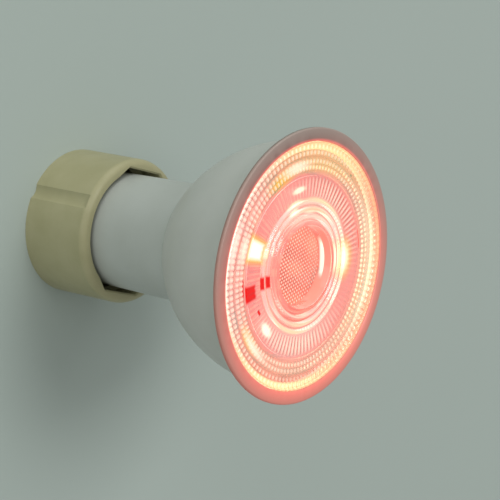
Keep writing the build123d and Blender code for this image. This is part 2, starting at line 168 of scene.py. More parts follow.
# %% Lens outline
columns = 480
well_circles = 42
ring_circles = 8
rib_circles = 9
bead_circles = 6
corner = 0.02


def well_outline():
    """Sunk centre, its stepped wall and the rounded crest round it."""
    points = [(r, well_floor_z) for r in spread(0.0, well_r, well_circles)]
    return points + [(well_r, well_floor_z), (well_r + 0.05, well_step_z), (well_r + 0.13, well_step_z + 0.1),
                     (well_wall_r - 0.06, lens_top_z - 0.15), (well_wall_r + 0.04, lens_top_z - 0.03),
                     (well_wall_r + 0.25, lens_top_z), (crest_end_r - 0.1, lens_top_z - 0.02),
                     (crest_end_r - corner, lens_top_z - 0.1)]


def border_outline():
    """Shallow groove between the ribs and the beads."""
    end_r = border_r + border_width
    groove_z = relief_z - border_depth
    return [(border_r, relief_z), (border_r + corner, groove_z),
            (end_r - corner, groove_z), (end_r, relief_z)]


def edge_outline():
    """Step up to the plain edge, which is level with the bezel."""
    return [(edge_r + 0.05, relief_z), (edge_r + 0.08, lens_top_z - 0.05), (edge_r + 0.13, lens_top_z),
            (lens_r - 0.06, lens_top_z), (lens_r, lens_top_z - 0.06)]


def lens_front():
    """(radius, height) points of the lens's front before the relief, from the centre outwards."""
    points = well_outline()
    points += [(r, relief_z) for r in spread(crest_end_r, rib_start_r, ring_count * ring_circles)]
    points += [(r, relief_z) for r in spread(rib_start_r, border_r - corner, rib_circles)]
    points += border_outline()
    for start in bead_start_r:
        points += [(r, relief_z) for r in spread(start, start + bead_width, bead_circles)]
        points += [(start + bead_width, relief_z)]
    return points + edge_outline()


print("points along the front:", len(lens_front()))

# %% [markdown]
# The back of the plate has a boss under the sunk centre and a skirt that stands inside the bowl.
# Both are part of the same moulding on the real lamp, so they belong to the same outline, and the
# plate comes out of the spin closed all round.

# %% Lens back, and the spin
skirt_r = 20.9
skirt_inner_r = skirt_r - 1.0
skirt_end_z = lens_seat_z - 2.2
back_z = lens_seat_z - 0.3
boss_r = well_r + 1.8
boss_z = well_floor_z - 1.2
lens_back = [(lens_r, lens_seat_z), (skirt_r, lens_seat_z), (skirt_r, skirt_end_z),
             (skirt_inner_r, skirt_end_z), (skirt_inner_r, back_z), (boss_r, back_z),
             (boss_r, boss_z), (0.0, boss_z)]
lens = spin_outline("lens_plate", lens_front() + lens_back, columns)
print("lens points before the relief:", len(lens.data.vertices))

# %% [markdown]
# The relief is one height for each place on the front. A cosine gives soft crests, and the
# honeycomb is three cosines, a third of a turn apart, added together. Beside the height, each
# place gets a number for its painted highlight and shade: a half is plain, one is a painted
# highlight on a crest, and nought is painted shade in a valley. The painted highlights aren't
# alike all round, so the number also takes in where the place is. It is kept as an attribute,
# which the finish reads.

# %% Helpers for the relief
dimple_rise = 0.09
dimple_pitch = 0.63
dimple_angle = radians(58)


def honeycomb(x, y):
    """From 0 between the dimples to 1 on a dimple's crown."""
    total = 0.0
    for way in range(3):
        angle = dimple_angle + way * 2 * pi / 3
        total += cos(2 * pi * (x * cos(angle) + y * sin(angle)) / dimple_pitch)
    return (total + 1.5) / 4.5


def ridge(azimuth, count):
    """From 0 in a valley to 1 on a crest, count times round."""
    return 0.5 - 0.5 * cos(count * azimuth)


def across(r, start, end, blunt):
    """From 0 at the ends of a band to 1 in its middle, flatter with a smaller blunt."""
    share = (r - start) / (end - start)
    return sin(pi * share) ** blunt if 0 < share < 1 else 0.0


# %% [markdown]
# Each zone of the lens has its own small function. It gives the rise in millimetres and the
# number for painted highlight and shade. The rings and ribs get their painted highlights most in
# two fans, above and below the centre in the picture. The beads get them most on the side of +X,
# which is nearest to the camera, and the dimples get stronger ones towards +X and +Y.

# %% Relief of each zone
plain_glow = 0.5
ring_rise = 0.42
rib_count = 96
rib_rise = 0.13
upper_highlight_fan = radians(-113)
lower_highlight_fan = radians(98)
bead_count = 120
bead_rise = 0.22


def well_relief(x, y, r):
    """Dimples, which fade out at the well's wall."""
    crown = honeycomb(x, y)
    highlight_contrast = 1.15 + 0.55 * (x + 0.6 * y) / well_r
    return dimple_rise * crown * min(1.0, (well_r - r) / 0.3), 0.45 + highlight_contrast * (crown - 0.32)


def ring_relief(r, azimuth):
    wave = ridge((r - crest_end_r) / ring_width, 2 * pi)
    highlight_contrast = 0.1 + 0.5 * sin(azimuth) ** 2
    return ring_rise * wave, plain_glow + highlight_contrast * (wave ** 2 - 0.3)


def rib_relief(r, azimuth):
    highlight_fans = max(0.0, cos(azimuth - lower_highlight_fan)) ** 2 + max(0.0, cos(azimuth - upper_highlight_fan)) ** 2
    band = across(r, rib_start_r, border_r, 0.35)
    wave = ridge(azimuth, rib_count)
    return rib_rise * band * wave, plain_glow + 0.95 * band * highlight_fans * (wave - 0.45)


def bead_relief(r, start, azimuth):
    band = across(r, start, start + bead_width, 0.4)
    wave = ridge(azimuth, bead_count)
    near_side = 0.5 + 0.5 * cos(azimuth)
    highlight_contrast = 0.3 + 0.8 * near_side ** 1.6
    return bead_rise * band * wave, plain_glow + highlight_contrast * (band * wave - 0.3)


def relief(x, y):
    """(rise in millimetres, number for painted highlight and shade) of the lens's front at a place."""
    r = hypot(x, y)
    azimuth = atan2(y, x)
    if r < well_r - 0.05:
        return well_relief(x, y, r)
    if crest_end_r - 0.01 < r < rib_start_r - 0.01:
        return ring_relief(r, azimuth)
    if rib_start_r < r < border_r - 0.03:
        return rib_relief(r, azimuth)
    for start in bead_start_r:
        if start < r < start + bead_width:
            return bead_relief(r, start, azimuth)
    # The gaps between the bead rows get painted shade, deepest on the side of +X.
    if bead_start_r[0] < r < edge_r:
        return 0.0, 0.36 - 0.08 * cos(azimuth)
    return 0.0, plain_glow


print("rise and glow on a bead:", [round(part, 3) for part in relief(bead_start_r[0] + bead_width / 2, 0.5)])

# %% Lens relief
# Each point keeps its number for painted highlight and shade as an attribute.
painted_crest_light = lens.data.attributes.new("painted_crest_light", "FLOAT", "POINT")
for point in lens.data.vertices:
    x, y, z = (part / MM for part in point.co)
    if z > well_floor_z - 0.5:
        rise, painted_light_number = relief(x, y)
        point.co.z += rise * MM
        painted_crest_light.data[point.index].value = min(1.0, max(0.0, painted_light_number))
bpy.context.view_layer.objects.active = lens
lens.select_set(True)
bpy.ops.object.shade_smooth_by_angle(angle=radians(50))
print("lens highest point in mm:", round(max(p.co.z for p in lens.data.vertices) / MM, 3))

# %% [markdown]
# The skirt behind the plate carries three short hooks that snap in under the bowl's ledge. Small
# boxes would come close, but a hook that is spun through a short arc follows the skirt's curve.
# Its two open ends are filled, and each next one is turned a third of a turn further round.

# %% Lens hooks
hook_count = 3
hook_arc = radians(24)
hook_steps = 12
hook_reach = 0.5
hook_top_z = lens_seat_z - 1.3
hook_bottom_z = hook_top_z - 0.6
hook_outline = [(skirt_r - hook_reach, hook_bottom_z), (skirt_r + hook_reach, hook_bottom_z),
                (skirt_r + hook_reach, hook_top_z), (skirt_r - hook_reach, hook_top_z)]
hooks = []
for number in range(hook_count):
    hook = spin_outline(f"lens_hook_{number + 1}", hook_outline, hook_steps, hook_arc)
    bpy.ops.object.mode_set(mode="EDIT")
    bpy.ops.mesh.select_all(action="SELECT")
    bpy.ops.mesh.edge_face_add()
    bpy.ops.object.mode_set(mode="OBJECT")
    hook.data.transform(Matrix.Rotation(number * 2 * pi / hook_count, 4, "Z"))
    hooks.append(hook)
print("hooks:", len(hooks))

# %% [markdown]
# ## Smooth copies of the solid parts
#
# The other visible parts already have their right shape in the frame, but their meshes are loose
# triangles, which show as flat facets. They could be modelled again, but a copy keeps every size
# of the solids. It is merged into one skin and shaded smooth up to a sharp edge, and it then
# stands for the part. Weighted normals let the large faces rule the shading, so that thin slivers
# along an edge leave no dark nicks. The cup is a soft-edged moulding, so its copy also gets a
# small bevel on every sharp edge.

# %% Helper for smooth copies
copy_weld = 1e-6
sliver_edge = 5e-6
bevel_segments = 3


def smooth_copy(node, name, soft_edge=0.0):
    """Merged and smoothly shaded copy of a solid part, which it then replaces."""
    bpy.ops.object.select_all(action="DESELECT")
    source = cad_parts[node]
    piece = source.copy()
    piece.data = source.data.copy()
    piece.name = name
    piece.parent = None
    piece.matrix_world = Matrix.Identity(4)
    bpy.context.scene.collection.objects.link(piece)
    bpy.context.view_layer.objects.active = piece
    piece.select_set(True)
    bpy.ops.object.mode_set(mode="EDIT")
    bpy.ops.mesh.select_all(action="SELECT")
    bpy.ops.mesh.remove_doubles(threshold=copy_weld)
    bpy.ops.mesh.dissolve_degenerate(threshold=sliver_edge)
    bpy.ops.object.mode_set(mode="OBJECT")
    if soft_edge:
        bpy.ops.object.modifier_add(type="BEVEL")
        rounding = piece.modifiers[-1]
        rounding.width = soft_edge * MM
        rounding.segments = bevel_segments
        rounding.limit_method = "ANGLE"
        rounding.angle_limit = radians(40)
        bpy.ops.object.modifier_apply(modifier=rounding.name)
    bpy.ops.object.shade_smooth_by_angle(angle=radians(30))
    bpy.ops.object.modifier_add(type="WEIGHTED_NORMAL")
    shading = piece.modifiers[-1]
    shading.keep_sharp = True
    bpy.ops.object.modifier_apply(modifier=shading.name)
    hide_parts(node)
    return piece


# %% Smooth copies
bowl = smooth_copy("bowl_shell", "reflector_bowl")
neck = smooth_copy("neck_housing", "bulb_neck")
holder = smooth_copy("holder_body", "lampholder_cup", soft_edge=0.3)
print("smooth copies:", [piece.name for piece in (bowl, neck, holder)])

# %% [markdown]
# ## Finishes
#
# A finish is a shader with its constant values set on its own sockets, and a few textures on
# Object coordinates that break up its colour, gloss and surface. Painted images could do this
# too, but a texture that is worked out needs no file and no unwrapping, and stays sharp close up.

# %% Helpers that start a finish
def linear(part):
    """One screen value from 0 to 255 as an amount of light from 0 to 1."""
    share = part / 255
    return share / 12.92 if share <= 0.04045 else ((share + 0.055) / 1.055) ** 2.4


def colour(red, green, blue):
    """Screen colour from 0 to 255 as the linear colour that a shader takes."""
    return (linear(red), linear(green), linear(blue), 1.0)


def start_finish(name, base, roughness, metallic=0.0):
    """(material, shader, place) where place gives Object coordinates in millimetres."""
    finish = bpy.data.materials.new(name)
    finish.use_nodes = True
    finish.diffuse_color = base
    shader = finish.node_tree.nodes["Principled BSDF"]
    shader.inputs["Base Color"].default_value = base
    shader.inputs["Roughness"].default_value = roughness
    shader.inputs["Metallic"].default_value = metallic
    coordinates = finish.node_tree.nodes.new("ShaderNodeTexCoord")
    place = finish.node_tree.nodes.new("ShaderNodeMapping")
    place.inputs["Scale"].default_value = (1 / MM, 1 / MM, 1 / MM)
    finish.node_tree.links.new(coordinates.outputs["Object"], place.inputs["Vector"])
    return finish, shader, place.outputs["Vector"]


def add_node(finish, kind, **sockets):
    """New node of a kind, with its input values set by socket name or number."""
    node = finish.node_tree.nodes.new(kind)
    for key, value in sockets.items():
        socket = int(key[1:]) if key[0] == "i" and key[1:].isdigit() else key
        node.inputs[socket].default_value = value
    return node


def link(finish, start, end):
    finish.node_tree.links.new(start, end)


print("middle grey as a shader takes it:", round(linear(128), 3))

# %% [markdown]
# What differs from place to place is worked out by small nodes. One helper does sums, one turns a
# value into a share by a step, and one gives an even speckle. The mottle puts them together into
# the slight unevenness that all moulded plastic has in its colour, gloss and surface.

# %% Helpers that work out values
def worked_out(finish, operation, *values):
    """Result of a Math node on sockets and plain numbers."""
    node = add_node(finish, "ShaderNodeMath")
    node.operation = operation
    for socket, value in zip(node.inputs, values):
        if isinstance(value, (int, float)):
            socket.default_value = value
        else:
            link(finish, value, socket)
    return node.outputs["Value"]


def share_between(finish, value, start, end, low=0.0, high=1.0, step="SMOOTHSTEP"):
    """Step of a value from low at start to high at end."""
    span = add_node(finish, "ShaderNodeMapRange")
    span.interpolation_type = step
    for name, number in (("From Min", start), ("From Max", end), ("To Min", low), ("To Max", high)):
        span.inputs[name].default_value = number
    link(finish, value, span.inputs["Value"])
    return span.outputs["Result"]


noise_detail = 3.0
noise_low, noise_high = 0.3, 0.7


def speckle(finish, place, scale, low, high):
    """Noise between two values, with cells of about 1 / scale millimetres."""
    noise = add_node(finish, "ShaderNodeTexNoise", Scale=scale, Detail=noise_detail)
    link(finish, place, noise.inputs["Vector"])
    return share_between(finish, noise.outputs["Fac"], noise_low, noise_high, low, high, "LINEAR")


print("noise is stretched from", noise_low, "to", noise_high)

# %% Helpers that mottle a finish and put it on
gloss_pitch = 2.3
gloss_drift = 0.15
grain_strength = 0.25


def mottle(finish, shader, place, base, shade, scale, grain, grain_depth):
    """Uneven gloss, a fine grain and a base colour that drifts to a shade. It gives back that colour."""
    drift = add_node(finish, "ShaderNodeMix")
    drift.data_type = "RGBA"
    drift.inputs[6].default_value = base
    drift.inputs[7].default_value = shade
    link(finish, speckle(finish, place, scale, 0.0, 1.0), drift.inputs["Factor"])
    link(finish, drift.outputs[2], shader.inputs["Base Color"])
    rough = shader.inputs["Roughness"].default_value
    gloss = speckle(finish, place, scale * gloss_pitch, rough * (1 - gloss_drift), rough * (1 + gloss_drift))
    link(finish, gloss, shader.inputs["Roughness"])
    bump = add_node(finish, "ShaderNodeBump", Strength=grain_strength, Distance=grain_depth * MM)
    link(finish, speckle(finish, place, grain, 0.0, 1.0), bump.inputs["Height"])
    link(finish, bump.outputs["Normal"], shader.inputs["Normal"])
    return drift.outputs[2]


def dress(piece, finish):
    piece.data.materials.clear()
    piece.data.materials.append(finish)


print("gloss differs by up to", gloss_drift, "of itself")

# %% [markdown]
# ### Plastics
#
# The cup is a beige moulding with a satin skin and a slight drift of colour. The bulb's neck and
# bowl are white plastic. The bowl's thin wall lets a little of the lamp's own light through.
# Scattering inside the wall could give that too, but it renders slowly, so the bowl gets the same
# white with a faint warm glow of its own.

# %% Cup plastic
holder_base = colour(172, 168, 131)
holder_finish, shader, place = start_finish("cup_plastic", holder_base, 0.42)
mottle(holder_finish, shader, place, holder_base, colour(163, 159, 121), 0.18, 6.0, 0.02)
shader.inputs["Specular IOR Level"].default_value = 0.4
dress(holder, holder_finish)
print("finish:", holder_finish.name)

# %% White plastics of the neck and the bowl
white_base = colour(184, 189, 183)
white_shade = colour(178, 183, 176)


def white_plastic(name):
    """(material, shader) of the bulb's satin white moulding."""
    finish, shader, place = start_finish(name, white_base, 0.38)
    mottle(finish, shader, place, white_base, white_shade, 0.12, 7.0, 0.015)
    return finish, shader


white_finish, shader = white_plastic("white_plastic")
dress(neck, white_finish)
bowl_finish, shader = white_plastic("lit_white_plastic")
shader.inputs["Emission Color"].default_value = colour(255, 226, 214)
shader.inputs["Emission Strength"].default_value = 0.03
dress(bowl, bowl_finish)
print("finishes:", white_finish.name, bowl_finish.name)


# %% [markdown]
# The bezel catches red light from the lens. A small lamp could give it, but a glow that is worked
# out from the distance to the axis keeps to the bezel and has no grain. It is strong at the
# lens's edge and weak at the rim. A thin line at the lens glows all round, and the rest glows most
# on the side of +Y, where the real rim catches most of the light. The bezel's base colour is
# painted too: darker and pinker than the bowl's white, for painted shade and red light, and
# redder still on the side of +Y. The bowl's inner wall has a weak pink glow and a painted pink
# base, which show through the lens. Both are further slots of the bowl's own mesh, because the
# bezel and the wall are one moulding with it.

# %% Helpers for radius and colour ramps
ramp_span = 26.0


def radius_of(finish, place):
    """Distance from the lamp's axis in millimetres."""
    flat = add_node(finish, "ShaderNodeVectorMath")
    flat.operation = "MULTIPLY"
    flat.inputs[1].default_value = (1, 1, 0)
    link(finish, place, flat.inputs[0])
    length = add_node(finish, "ShaderNodeVectorMath")
    length.operation = "LENGTH"
    link(finish, flat.outputs["Vector"], length.inputs[0])
    return length.outputs["Value"]


def ramp(finish, radius, stops):
    """Colour by the radius, through (radius in millimetres, colour) stops."""
    band = add_node(finish, "ShaderNodeValToRGB")
    elements = band.color_ramp.elements
    elements[0].position, elements[0].color = stops[0][0] / ramp_span, stops[0][1]
    elements[1].position, elements[1].color = stops[-1][0] / ramp_span, stops[-1][1]
    for stop, tone in stops[1:-1]:
        element = elements.new(stop / ramp_span)
        element.color = tone
    link(finish, worked_out(finish, "MULTIPLY", radius, 1 / ramp_span), band.inputs["Fac"])
    return band.outputs["Color"]


print("ramps by radius reach", ramp_span, "mm, and the rim is at 25 mm")

# %% Bezel
line_start_r, line_end_r = 22.6, 23.3
lit_direction = (-0.3, 0.95, 0.0)
lit_reach = 24.0
# The bezel's darker, pinker base is painted shade and painted red light on the white moulding.
shaded_pink_bezel_base = colour(160, 148, 139)
bezel_finish, shader, place = start_finish("lit_bezel", shaded_pink_bezel_base, 0.4)
bezel_stops = [(21.0, colour(220, 66, 54)), (22.6, colour(220, 66, 54)), (23.2, colour(196, 44, 36)),
               (24.2, colour(160, 32, 27)), (25.0, colour(125, 24, 21))]
bezel_radius = radius_of(bezel_finish, place)
bezel_glow = ramp(bezel_finish, bezel_radius, bezel_stops)
towards_light = add_node(bezel_finish, "ShaderNodeVectorMath", i1=lit_direction)
towards_light.operation = "DOT_PRODUCT"
link(bezel_finish, place, towards_light.inputs[0])
along = towards_light.outputs["Value"]
lit_side = share_between(bezel_finish, along, -lit_reach, lit_reach, 0.08, 1.0, "LINEAR")
edge_line = share_between(bezel_finish, bezel_radius, line_end_r, line_start_r)
bezel_strength = worked_out(bezel_finish, "MAXIMUM", lit_side, edge_line)
link(bezel_finish, bezel_strength, shader.inputs["Emission Strength"])
link(bezel_finish, bezel_glow, shader.inputs["Emission Color"])
# Painted red light: the base colour turns redder towards the side of +Y.
painted_red_light_tone = add_node(bezel_finish, "ShaderNodeMix")
painted_red_light_tone.data_type = "RGBA"
painted_red_light_tone.inputs[6].default_value = shaded_pink_bezel_base
painted_red_light_tone.inputs[7].default_value = colour(172, 134, 120)
link(bezel_finish, lit_side, painted_red_light_tone.inputs["Factor"])
link(bezel_finish, painted_red_light_tone.outputs[2], shader.inputs["Base Color"])
link(bezel_finish, speckle(bezel_finish, place, 0.4, 0.36, 0.46), shader.inputs["Roughness"])
print("finish:", bezel_finish.name)

# %% Inner wall of the bowl
# The inner wall's pink base is painted light from the lamp, as is its glow.
inner_finish, shader, place = start_finish("lit_inner_wall", colour(206, 130, 116), 0.5)
inner_stops = [(0.0, colour(240, 120, 105)), (17.0, colour(245, 130, 112)), (20.0, colour(252, 170, 140)),
               (21.5, colour(255, 190, 150))]
inner_glow = ramp(inner_finish, radius_of(inner_finish, place), inner_stops)
link(inner_finish, inner_glow, shader.inputs["Emission Color"])
shader.inputs["Emission Strength"].default_value = 0.16
print("finish:", inner_finish.name)

# %% Which faces of the bowl glow
bowl.data.materials.append(bezel_finish)
bowl.data.materials.append(inner_finish)
bezel_slot, inner_slot = 1, 2
rim_edge_r = 24.3
rim_edge_z = front_z - 0.6
chamber_z = 34.0
for face in bowl.data.polygons:
    centre = face.center / MM
    axis_distance = hypot(centre.x, centre.y)
    inward = face.normal.x * centre.x + face.normal.y * centre.y < -0.05
    on_front = face.normal.z > 0.9 and centre.z > front_z - 0.05
    on_rim_edge = axis_distance > rim_edge_r and centre.z > rim_edge_z
    in_chamber = axis_distance < lens_r + 0.2 and centre.z > chamber_z
    if on_front or on_rim_edge:
        face.material_index = bezel_slot
    elif in_chamber and (inward or face.normal.z > 0.3):
        face.material_index = inner_slot
print("bezel faces:", sum(face.material_index == bezel_slot for face in bowl.data.polygons))

# %% [markdown]
# ### The lit lens
#
# The plate is clear, with a bright chamber behind it. Part of its look is real refraction of
# that chamber, and part is a glow of its own, because so much light scatters inside the plate.
# The glow's colour runs from pink in the middle to peach near the edge. It has painted
# highlights on the crests and painted shade in the valleys, which the attribute marks, and the
# images of the LEDs are painted in it as small bright marks.

# %% Helper for places in radius and angle
def polar_places(finish, place):
    """(radius in mm, angle in degrees, 0) about the axis, measured from +X and again from -X."""
    parts = add_node(finish, "ShaderNodeSeparateXYZ")
    link(finish, place, parts.inputs["Vector"])
    places = []
    for side in (1, -1):
        flipped = [worked_out(finish, "MULTIPLY", parts.outputs[axis], side) for axis in ("Y", "X")]
        angle = worked_out(finish, "ARCTAN2", *flipped)
        polar = add_node(finish, "ShaderNodeCombineXYZ")
        link(finish, radius_of(finish, place), polar.inputs["X"])
        link(finish, worked_out(finish, "DEGREES", angle), polar.inputs["Y"])
        places.append(polar.outputs["Vector"])
    return places


# %% [markdown]
# A mark is a soft round or square spot of painted light. It is measured in radius and angle, so
# it bends round the plate as the lamp's real reflections do. Angles jump where they pass half a
# turn, so marks on that side are measured from -X.

# %% Helpers for marks
def tinted(finish, under, share, tone):
    """One colour mixed into another by a share from 0 to 1."""
    blend = add_node(finish, "ShaderNodeMix")
    blend.data_type = "RGBA"
    link(finish, share, blend.inputs["Factor"])
    link(finish, under, blend.inputs[6])
    blend.inputs[7].default_value = tone
    return blend.outputs[2]


def mark_share(finish, places, spot, half_size, softness, square):
    """1 inside a mark and 0 outside it. Its spot and half size are in millimetres and degrees."""
    radius, azimuth = spot
    behind = abs(azimuth) > 90
    if behind:
        azimuth = azimuth - 180 if azimuth > 0 else azimuth + 180
    local = add_node(finish, "ShaderNodeMapping")
    local.vector_type = "TEXTURE"
    local.inputs["Location"].default_value = (radius, azimuth, 0)
    local.inputs["Scale"].default_value = (*half_size, 1)
    link(finish, places[behind], local.inputs["Vector"])
    size = add_node(finish, "ShaderNodeVectorMath")
    size.operation = "ABSOLUTE" if square else "LENGTH"
    link(finish, local.outputs["Vector"], size.inputs[0])
    if square:
        parts = add_node(finish, "ShaderNodeSeparateXYZ")
        link(finish, size.outputs["Vector"], parts.inputs["Vector"])
        distance = worked_out(finish, "MAXIMUM", parts.outputs["X"], parts.outputs["Y"])
    else:
        distance = size.outputs["Value"]
    return share_between(finish, distance, 1 + softness, 1 - softness)


def with_marks(finish, tone, places, marks):
    """Colour with soft marks laid over it, one after the other."""
    for spot, half_size, mark_tone, softness, square in marks:
        share = mark_share(finish, places, spot, half_size, softness, square)
        tone = tinted(finish, tone, share, mark_tone)
    return tone


# %% [markdown]
# The glow has to be weaker than the colour that is wanted, because light also comes through the
# plate from the chamber. How much that is was measured with no glow at all, and a helper takes
# it off. The stops below then are the colours as they look.

# %% Glow of the lens by radius
through_light = (0.56, 0.27, 0.2)


def glowing(red, green, blue):
    """Glow of a place that looks a screen colour, once the light through the lens is taken off."""
    looks = colour(red, green, blue)
    return tuple(max(0.0, part - through) for part, through in zip(looks, through_light)) + (1.0,)


glow_stops = [(0.0, glowing(248, 172, 152)), (6.8, glowing(248, 172, 152)), (7.4, glowing(247, 164, 146)),
              (8.4, glowing(247, 168, 152)), (11.5, glowing(250, 178, 162)), (14.5, glowing(251, 178, 165)),
              (16.4, glowing(249, 176, 162)), (17.6, glowing(251, 196, 170)), (19.4, glowing(251, 200, 172)),
              (20.1, glowing(250, 188, 164)), (21.2, glowing(244, 174, 150)), (22.5, glowing(242, 170, 142))]
# Painted shade for the valleys and painted highlight for the crests.
valley_painted_shade = glowing(216, 146, 126)
summit_painted_highlight = colour(216, 212, 192)
print("glow stops:", len(glow_stops))

# %% [markdown]
# The lamp's packages show in the plate as images, and these are painted in as light: a white
# block, warm streaks along the rings and beads, and red blocks where a red package stands. Each
# is a soft mark at a radius and an angle, so it follows the plate's round relief. A painted
# picture could do the same, but marks stay sharp at any distance and can be moved one by one. The
# wide ones come first, under the ridges, and the bright ones lie on top of them.

# %% Painted light marks on the lens, as (radius, angle), (half radius, half angle), tone, softness, square
wide_painted_lights = [((10.4, -90), (2.4, 42), glowing(251, 212, 194), 0.8, False),
              ((14.0, -48), (2.6, 30), glowing(254, 184, 170), 0.6, False),
              ((13.6, 92), (2.6, 44), glowing(252, 206, 190), 0.6, False),
              ((20.2, 0), (2.8, 44), glowing(255, 216, 200), 0.6, False),
              ((20.2, -88), (1.9, 40), glowing(251, 210, 162), 0.75, False),
              ((18.2, -84), (1.0, 24), glowing(252, 212, 158), 0.8, False),
              ((19.6, -170), (1.6, 34), glowing(254, 228, 192), 0.6, False),
              ((18.4, 172), (0.8, 26), glowing(252, 208, 172), 0.7, False),
              ((21.7, 88), (0.6, 44), glowing(251, 208, 164), 0.7, False),
              ((18.0, -51), (1.1, 11), glowing(255, 218, 96), 0.7, False),
              ((18.7, 52), (0.9, 9), glowing(254, 222, 130), 0.7, False),
              ((12.1, -165), (1.7, 14), glowing(254, 226, 138), 0.8, False),
              ((14.8, -4.0), (2.3, 8.2), glowing(255, 222, 130), 0.45, True)]
bright_painted_lights = [((18.4, -64), (0.8, 10), colour(236, 222, 194), 0.8, False),
                ((18.6, 57), (0.65, 11), colour(236, 224, 200), 0.8, False),
                ((18.2, -2), (0.9, 7), colour(226, 216, 196), 0.8, False),
                ((21.0, -3), (0.8, 9), colour(220, 214, 200), 0.8, False),
                ((14.8, -4.0), (1.65, 5.8), colour(255, 255, 244), 0.34, True),
                ((12.1, -4.1), (0.5, 4.0), colour(220, 206, 160), 0.5, True),
                ((10.3, -8), (0.35, 5.0), colour(222, 212, 190), 0.5, False),
                ((12.0, -165), (1.1, 11.0), colour(255, 252, 214), 0.7, False),
                ((14.3, -65), (0.5, 6.5), colour(255, 246, 214), 0.6, False),
                ((14.3, 59), (0.85, 6.5), colour(255, 252, 226), 0.5, False),
                ((11.0, -55), (0.45, 6.0), colour(236, 222, 190), 0.7, False),
                ((10.1, -80), (0.4, 8.0), colour(236, 222, 190), 0.7, False),
                ((12.3, -58), (0.35, 9.0), colour(236, 222, 184), 0.7, False),
                ((12.1, -100), (0.4, 26), colour(226, 204, 160), 0.8, False),
                ((10.4, -84), (0.35, 22), colour(206, 186, 150), 0.8, False),
                ((11.8, 84), (0.35, 24), colour(226, 206, 164), 0.8, False),
                ((10.5, 104), (0.35, 24), colour(210, 192, 158), 0.8, False),
                ((7.39, -162), (0.03, 28), colour(255, 250, 232), 0.4, False)]
print("soft marks on the lens:", len(wide_painted_lights) + len(bright_painted_lights))

# %% Glow of the lens
acrylic_ior = 1.49
lens_tint = colour(255, 226, 216)
lens_finish, shader, place = start_finish("lit_clear_lens", lens_tint, 0.06)
shader.inputs["IOR"].default_value = acrylic_ior
shader.inputs["Emission Strength"].default_value = 1.0
polar = polar_places(lens_finish, place)
painted_crest_value = add_node(lens_finish, "ShaderNodeAttribute")
painted_crest_value.attribute_name = "painted_crest_light"
# The attribute's painted shade darkens the glow, and its painted highlights lighten it.
valley_shade_share = share_between(lens_finish, painted_crest_value.outputs["Fac"], plain_glow, 0.0)
summit_highlight_share = share_between(lens_finish, painted_crest_value.outputs["Fac"], plain_glow, 1.0, 0.0, 0.9)
tone = ramp(lens_finish, radius_of(lens_finish, place), glow_stops)
# Painted images and highlights of the LEDs are laid over the glow.
tone = with_marks(lens_finish, tone, polar, wide_painted_lights)
tone = tinted(lens_finish, tone, valley_shade_share, valley_painted_shade)
tone = tinted(lens_finish, tone, summit_highlight_share, summit_painted_highlight)
tone = with_marks(lens_finish, tone, polar, bright_painted_lights)
print("finish:", lens_finish.name)

# %% [markdown]
# In a few places the plate is made opaque, so that painted images show: the red images of the
# red packages, and a band of painted pink light on the well's wall on the side of -X, where clear
# plastic would show a grey patch. There the clearness goes down to nought, and the base colour
# takes the mark's own tone beside its glow. A ring of stronger tint shows the wall all round the
# well.

# %% Opaque painted images, as (radius, angle), (half radius, half angle), (glow, base)
painted_image_softness = 0.32
# Painted red images of the red packages, and painted pink light on the well's wall.
painted_red_image = ((0.35, 0.004, 0.004, 1.0), colour(215, 24, 20))
painted_pink_wall_light = ((0.42, 0.13, 0.1, 1.0), colour(240, 150, 132))
opaque_painted_images = [((15.35, 25.0), (1.5, 6.0), painted_red_image), ((17.3, 20.0), (0.22, 5.5), painted_red_image),
               ((12.25, 21.2), (0.38, 5.8), painted_red_image), ((10.5, 21.5), (0.6, 6.2), painted_red_image),
               ((14.1, 42.0), (0.3, 2.6), painted_red_image), ((16.55, -155), (0.1, 7.0), painted_red_image),
               ((7.49, 180), (0.07, 75), painted_pink_wall_light), ((7.385, 150), (0.05, 22), painted_pink_wall_light)]
print("dense marks on the lens:", len(opaque_painted_images))

# %% Tint and clearness of the lens
wall_tint = colour(255, 190, 176)
near_wall_tint = colour(255, 214, 202)
tint_stops = [(0.0, lens_tint), (7.3, near_wall_tint), (7.4, wall_tint), (7.6, wall_tint),
              (7.8, near_wall_tint), (22.5, lens_tint)]
tint = ramp(lens_finish, radius_of(lens_finish, place), tint_stops)
clearness = 0.96
for spot, half_size, (mark_glow, mark_base) in opaque_painted_images:
    share = mark_share(lens_finish, polar, spot, half_size, painted_image_softness, True)
    tone = tinted(lens_finish, tone, share, mark_glow)
    tint = tinted(lens_finish, tint, share, mark_base)
    left_clear = worked_out(lens_finish, "SUBTRACT", 1.0, share)
    clearness = worked_out(lens_finish, "MULTIPLY", clearness, left_clear)
for socket, result in (("Base Color", tint), ("Emission Color", tone), ("Transmission Weight", clearness)):
    link(lens_finish, result, shader.inputs[socket])
dress(lens, lens_finish)
print("nodes in the lens finish:", len(lens_finish.node_tree.nodes))

# %% [markdown]
# The plate's back, its skirt and its hooks are plain clear plastic with no glow, so they get a
# second finish. On the lens it goes on the faces behind the plate that look down or sideways.

# %% Finish of the lens's back and hooks
back_slot = 1
clear_finish, shader, place = start_finish("clear_lens_back", lens_tint, 0.08)
shader.inputs["Transmission Weight"].default_value = 1.0
shader.inputs["IOR"].default_value = acrylic_ior
link(clear_finish, speckle(clear_finish, place, 0.6, 0.06, 0.1), shader.inputs["Roughness"])
lens.data.materials.append(clear_finish)
for face in lens.data.polygons:
    height = face.center.z / MM
    behind_plate = height < well_floor_z - 0.1 or height <= lens_seat_z + 0.01
    if face.normal.z < 0.02 and behind_plate:
        face.material_index = back_slot
for hook in hooks:
    dress(hook, clear_finish)
print("finish:", clear_finish.name)

